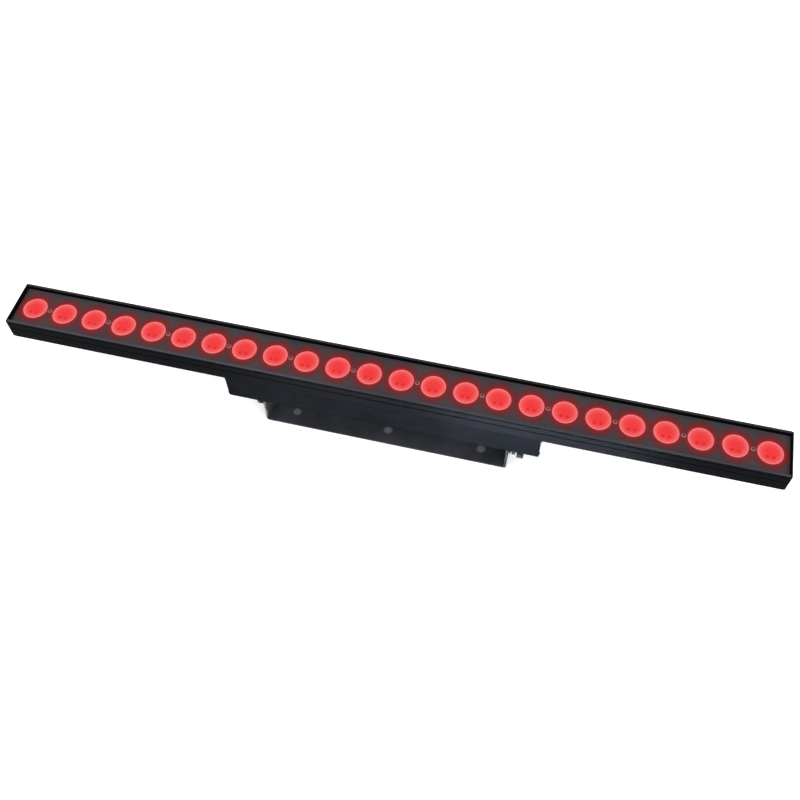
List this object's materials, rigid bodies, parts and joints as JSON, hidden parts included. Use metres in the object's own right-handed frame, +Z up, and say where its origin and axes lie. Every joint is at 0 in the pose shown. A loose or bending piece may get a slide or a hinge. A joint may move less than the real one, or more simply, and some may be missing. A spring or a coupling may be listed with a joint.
{
  "type": "led strip batten",
  "caption": "Long slim stage light bar with a row of round lenses, a driver box under its middle and a flat U-shaped tilting yoke with clamping knobs.",
  "frame": {"origin": "centre of the yoke's underside, on the axis of its centre clamp hole", "axes": "+X along the bar, +Z up out of the lenses, controls on the +Y side"},
  "size_m": [1.0054, 0.064, 0.1398],
  "materials": {
    "steel_black": "fine black powder coat on sheet steel",
    "bolt_black": "black zinc",
    "knob_plastic": "moulded black nylon",
    "washer_fibre": "black friction fibre",
    "rail_anodised": "black satin anodised extrusion",
    "face_plate_coat": "matte dark grey coat",
    "screw_bright": "bright zinc",
    "lens_red": "clear acrylic collimator lit red",
    "led_board_white": "white solder mask",
    "led_package": "clear dome over red dies",
    "housing_coat": "fine black powder coat on an aluminium extrusion",
    "supply_case": "bare folded aluminium",
    "circuit_board": "green solder mask",
    "panel_plastic": "smoked black plastic",
    "button_plastic": "soft black plastic",
    "socket_blue": "blue socket plastic",
    "socket_grey": "light grey socket plastic",
    "socket_black": "black coated socket shell",
    "latch_metal": "nickel plated",
    "lead_sleeve": "black lead sleeving"
  },
  "bodies": {
    "yoke": {"yoke_bracket": "steel_black", "pivot_bolts": "bolt_black"},
    "fixture": {"friction_washers": "washer_fibre", "lug_left": "steel_black", "lug_right": "steel_black", "lug_bolts": "bolt_black", "led_rail": "rail_anodised", "end_plate_left": "steel_black", "end_plate_right": "steel_black", "casing_screws": "bolt_black", "face_plate": "face_plate_coat", "face_plate_screws": "screw_bright", "led_board_left": "led_board_white", "led_board_right": "led_board_white", "led_emitters": "led_package", "led_board_screws": "screw_bright", "driver_housing": "housing_coat", "bottom_cover": "steel_black", "housing_end_left": "steel_black", "housing_end_right": "steel_black", "power_supply": "supply_case", "driver_board": "circuit_board", "control_board": "circuit_board", "control_panel": "panel_plastic", "power_inlet": "socket_blue", "power_outlet": "socket_grey", "data_input": "socket_black", "data_output": "socket_black", "wiring_harness": "lead_sleeve", "lens_01": "lens_red", "lens_02": "lens_red", "lens_03": "lens_red", "lens_04": "lens_red", "lens_05": "lens_red", "lens_06": "lens_red", "lens_07": "lens_red", "lens_08": "lens_red", "lens_09": "lens_red", "lens_10": "lens_red", "lens_11": "lens_red", "lens_12": "lens_red", "lens_13": "lens_red", "lens_14": "lens_red", "lens_15": "lens_red", "lens_16": "lens_red", "lens_17": "lens_red", "lens_18": "lens_red", "lens_19": "lens_red", "lens_20": "lens_red", "lens_21": "lens_red", "lens_22": "lens_red", "lens_23": "lens_red", "lens_24": "lens_red"},
    "knob_left": {"knob_left": "knob_plastic"},
    "knob_right": {"knob_right": "knob_plastic"},
    "button_menu": {"button_menu": "button_plastic"},
    "button_down": {"button_down": "button_plastic"},
    "button_up": {"button_up": "button_plastic"},
    "button_enter": {"button_enter": "button_plastic"},
    "data_latch": {"data_latch": "latch_metal"}
  },
  "joints": [
    {"name": "tilt", "type": "hinge", "parent": "yoke", "child": "fixture", "pos_m": [0, 0, 0.0415], "axis": [1, 0, 0], "range_deg": [-90, 90]},
    {"name": "knob_left_turn", "type": "hinge", "parent": "yoke", "child": "knob_left", "pos_m": [-0.1795, 0, 0.0415], "axis": [-1, 0, 0], "range_deg": [0, 540]},
    {"name": "knob_right_turn", "type": "hinge", "parent": "yoke", "child": "knob_right", "pos_m": [0.1795, 0, 0.0415], "axis": [1, 0, 0], "range_deg": [0, 540]},
    {"name": "button_menu_press", "type": "slide", "parent": "fixture", "child": "button_menu", "axis": [0, -1, 0], "range_m": [0, 0.0006], "stiffness_N_per_m": 1500},
    {"name": "button_down_press", "type": "slide", "parent": "fixture", "child": "button_down", "axis": [0, -1, 0], "range_m": [0, 0.0006], "stiffness_N_per_m": 1500},
    {"name": "button_up_press", "type": "slide", "parent": "fixture", "child": "button_up", "axis": [0, -1, 0], "range_m": [0, 0.0006], "stiffness_N_per_m": 1500},
    {"name": "button_enter_press", "type": "slide", "parent": "fixture", "child": "button_enter", "axis": [0, -1, 0], "range_m": [0, 0.0006], "stiffness_N_per_m": 1500},
    {"name": "data_latch_press", "type": "slide", "parent": "fixture", "child": "data_latch", "axis": [-1, 0, 0], "range_m": [0, 0.001], "stiffness_N_per_m": 1200}
  ]
}
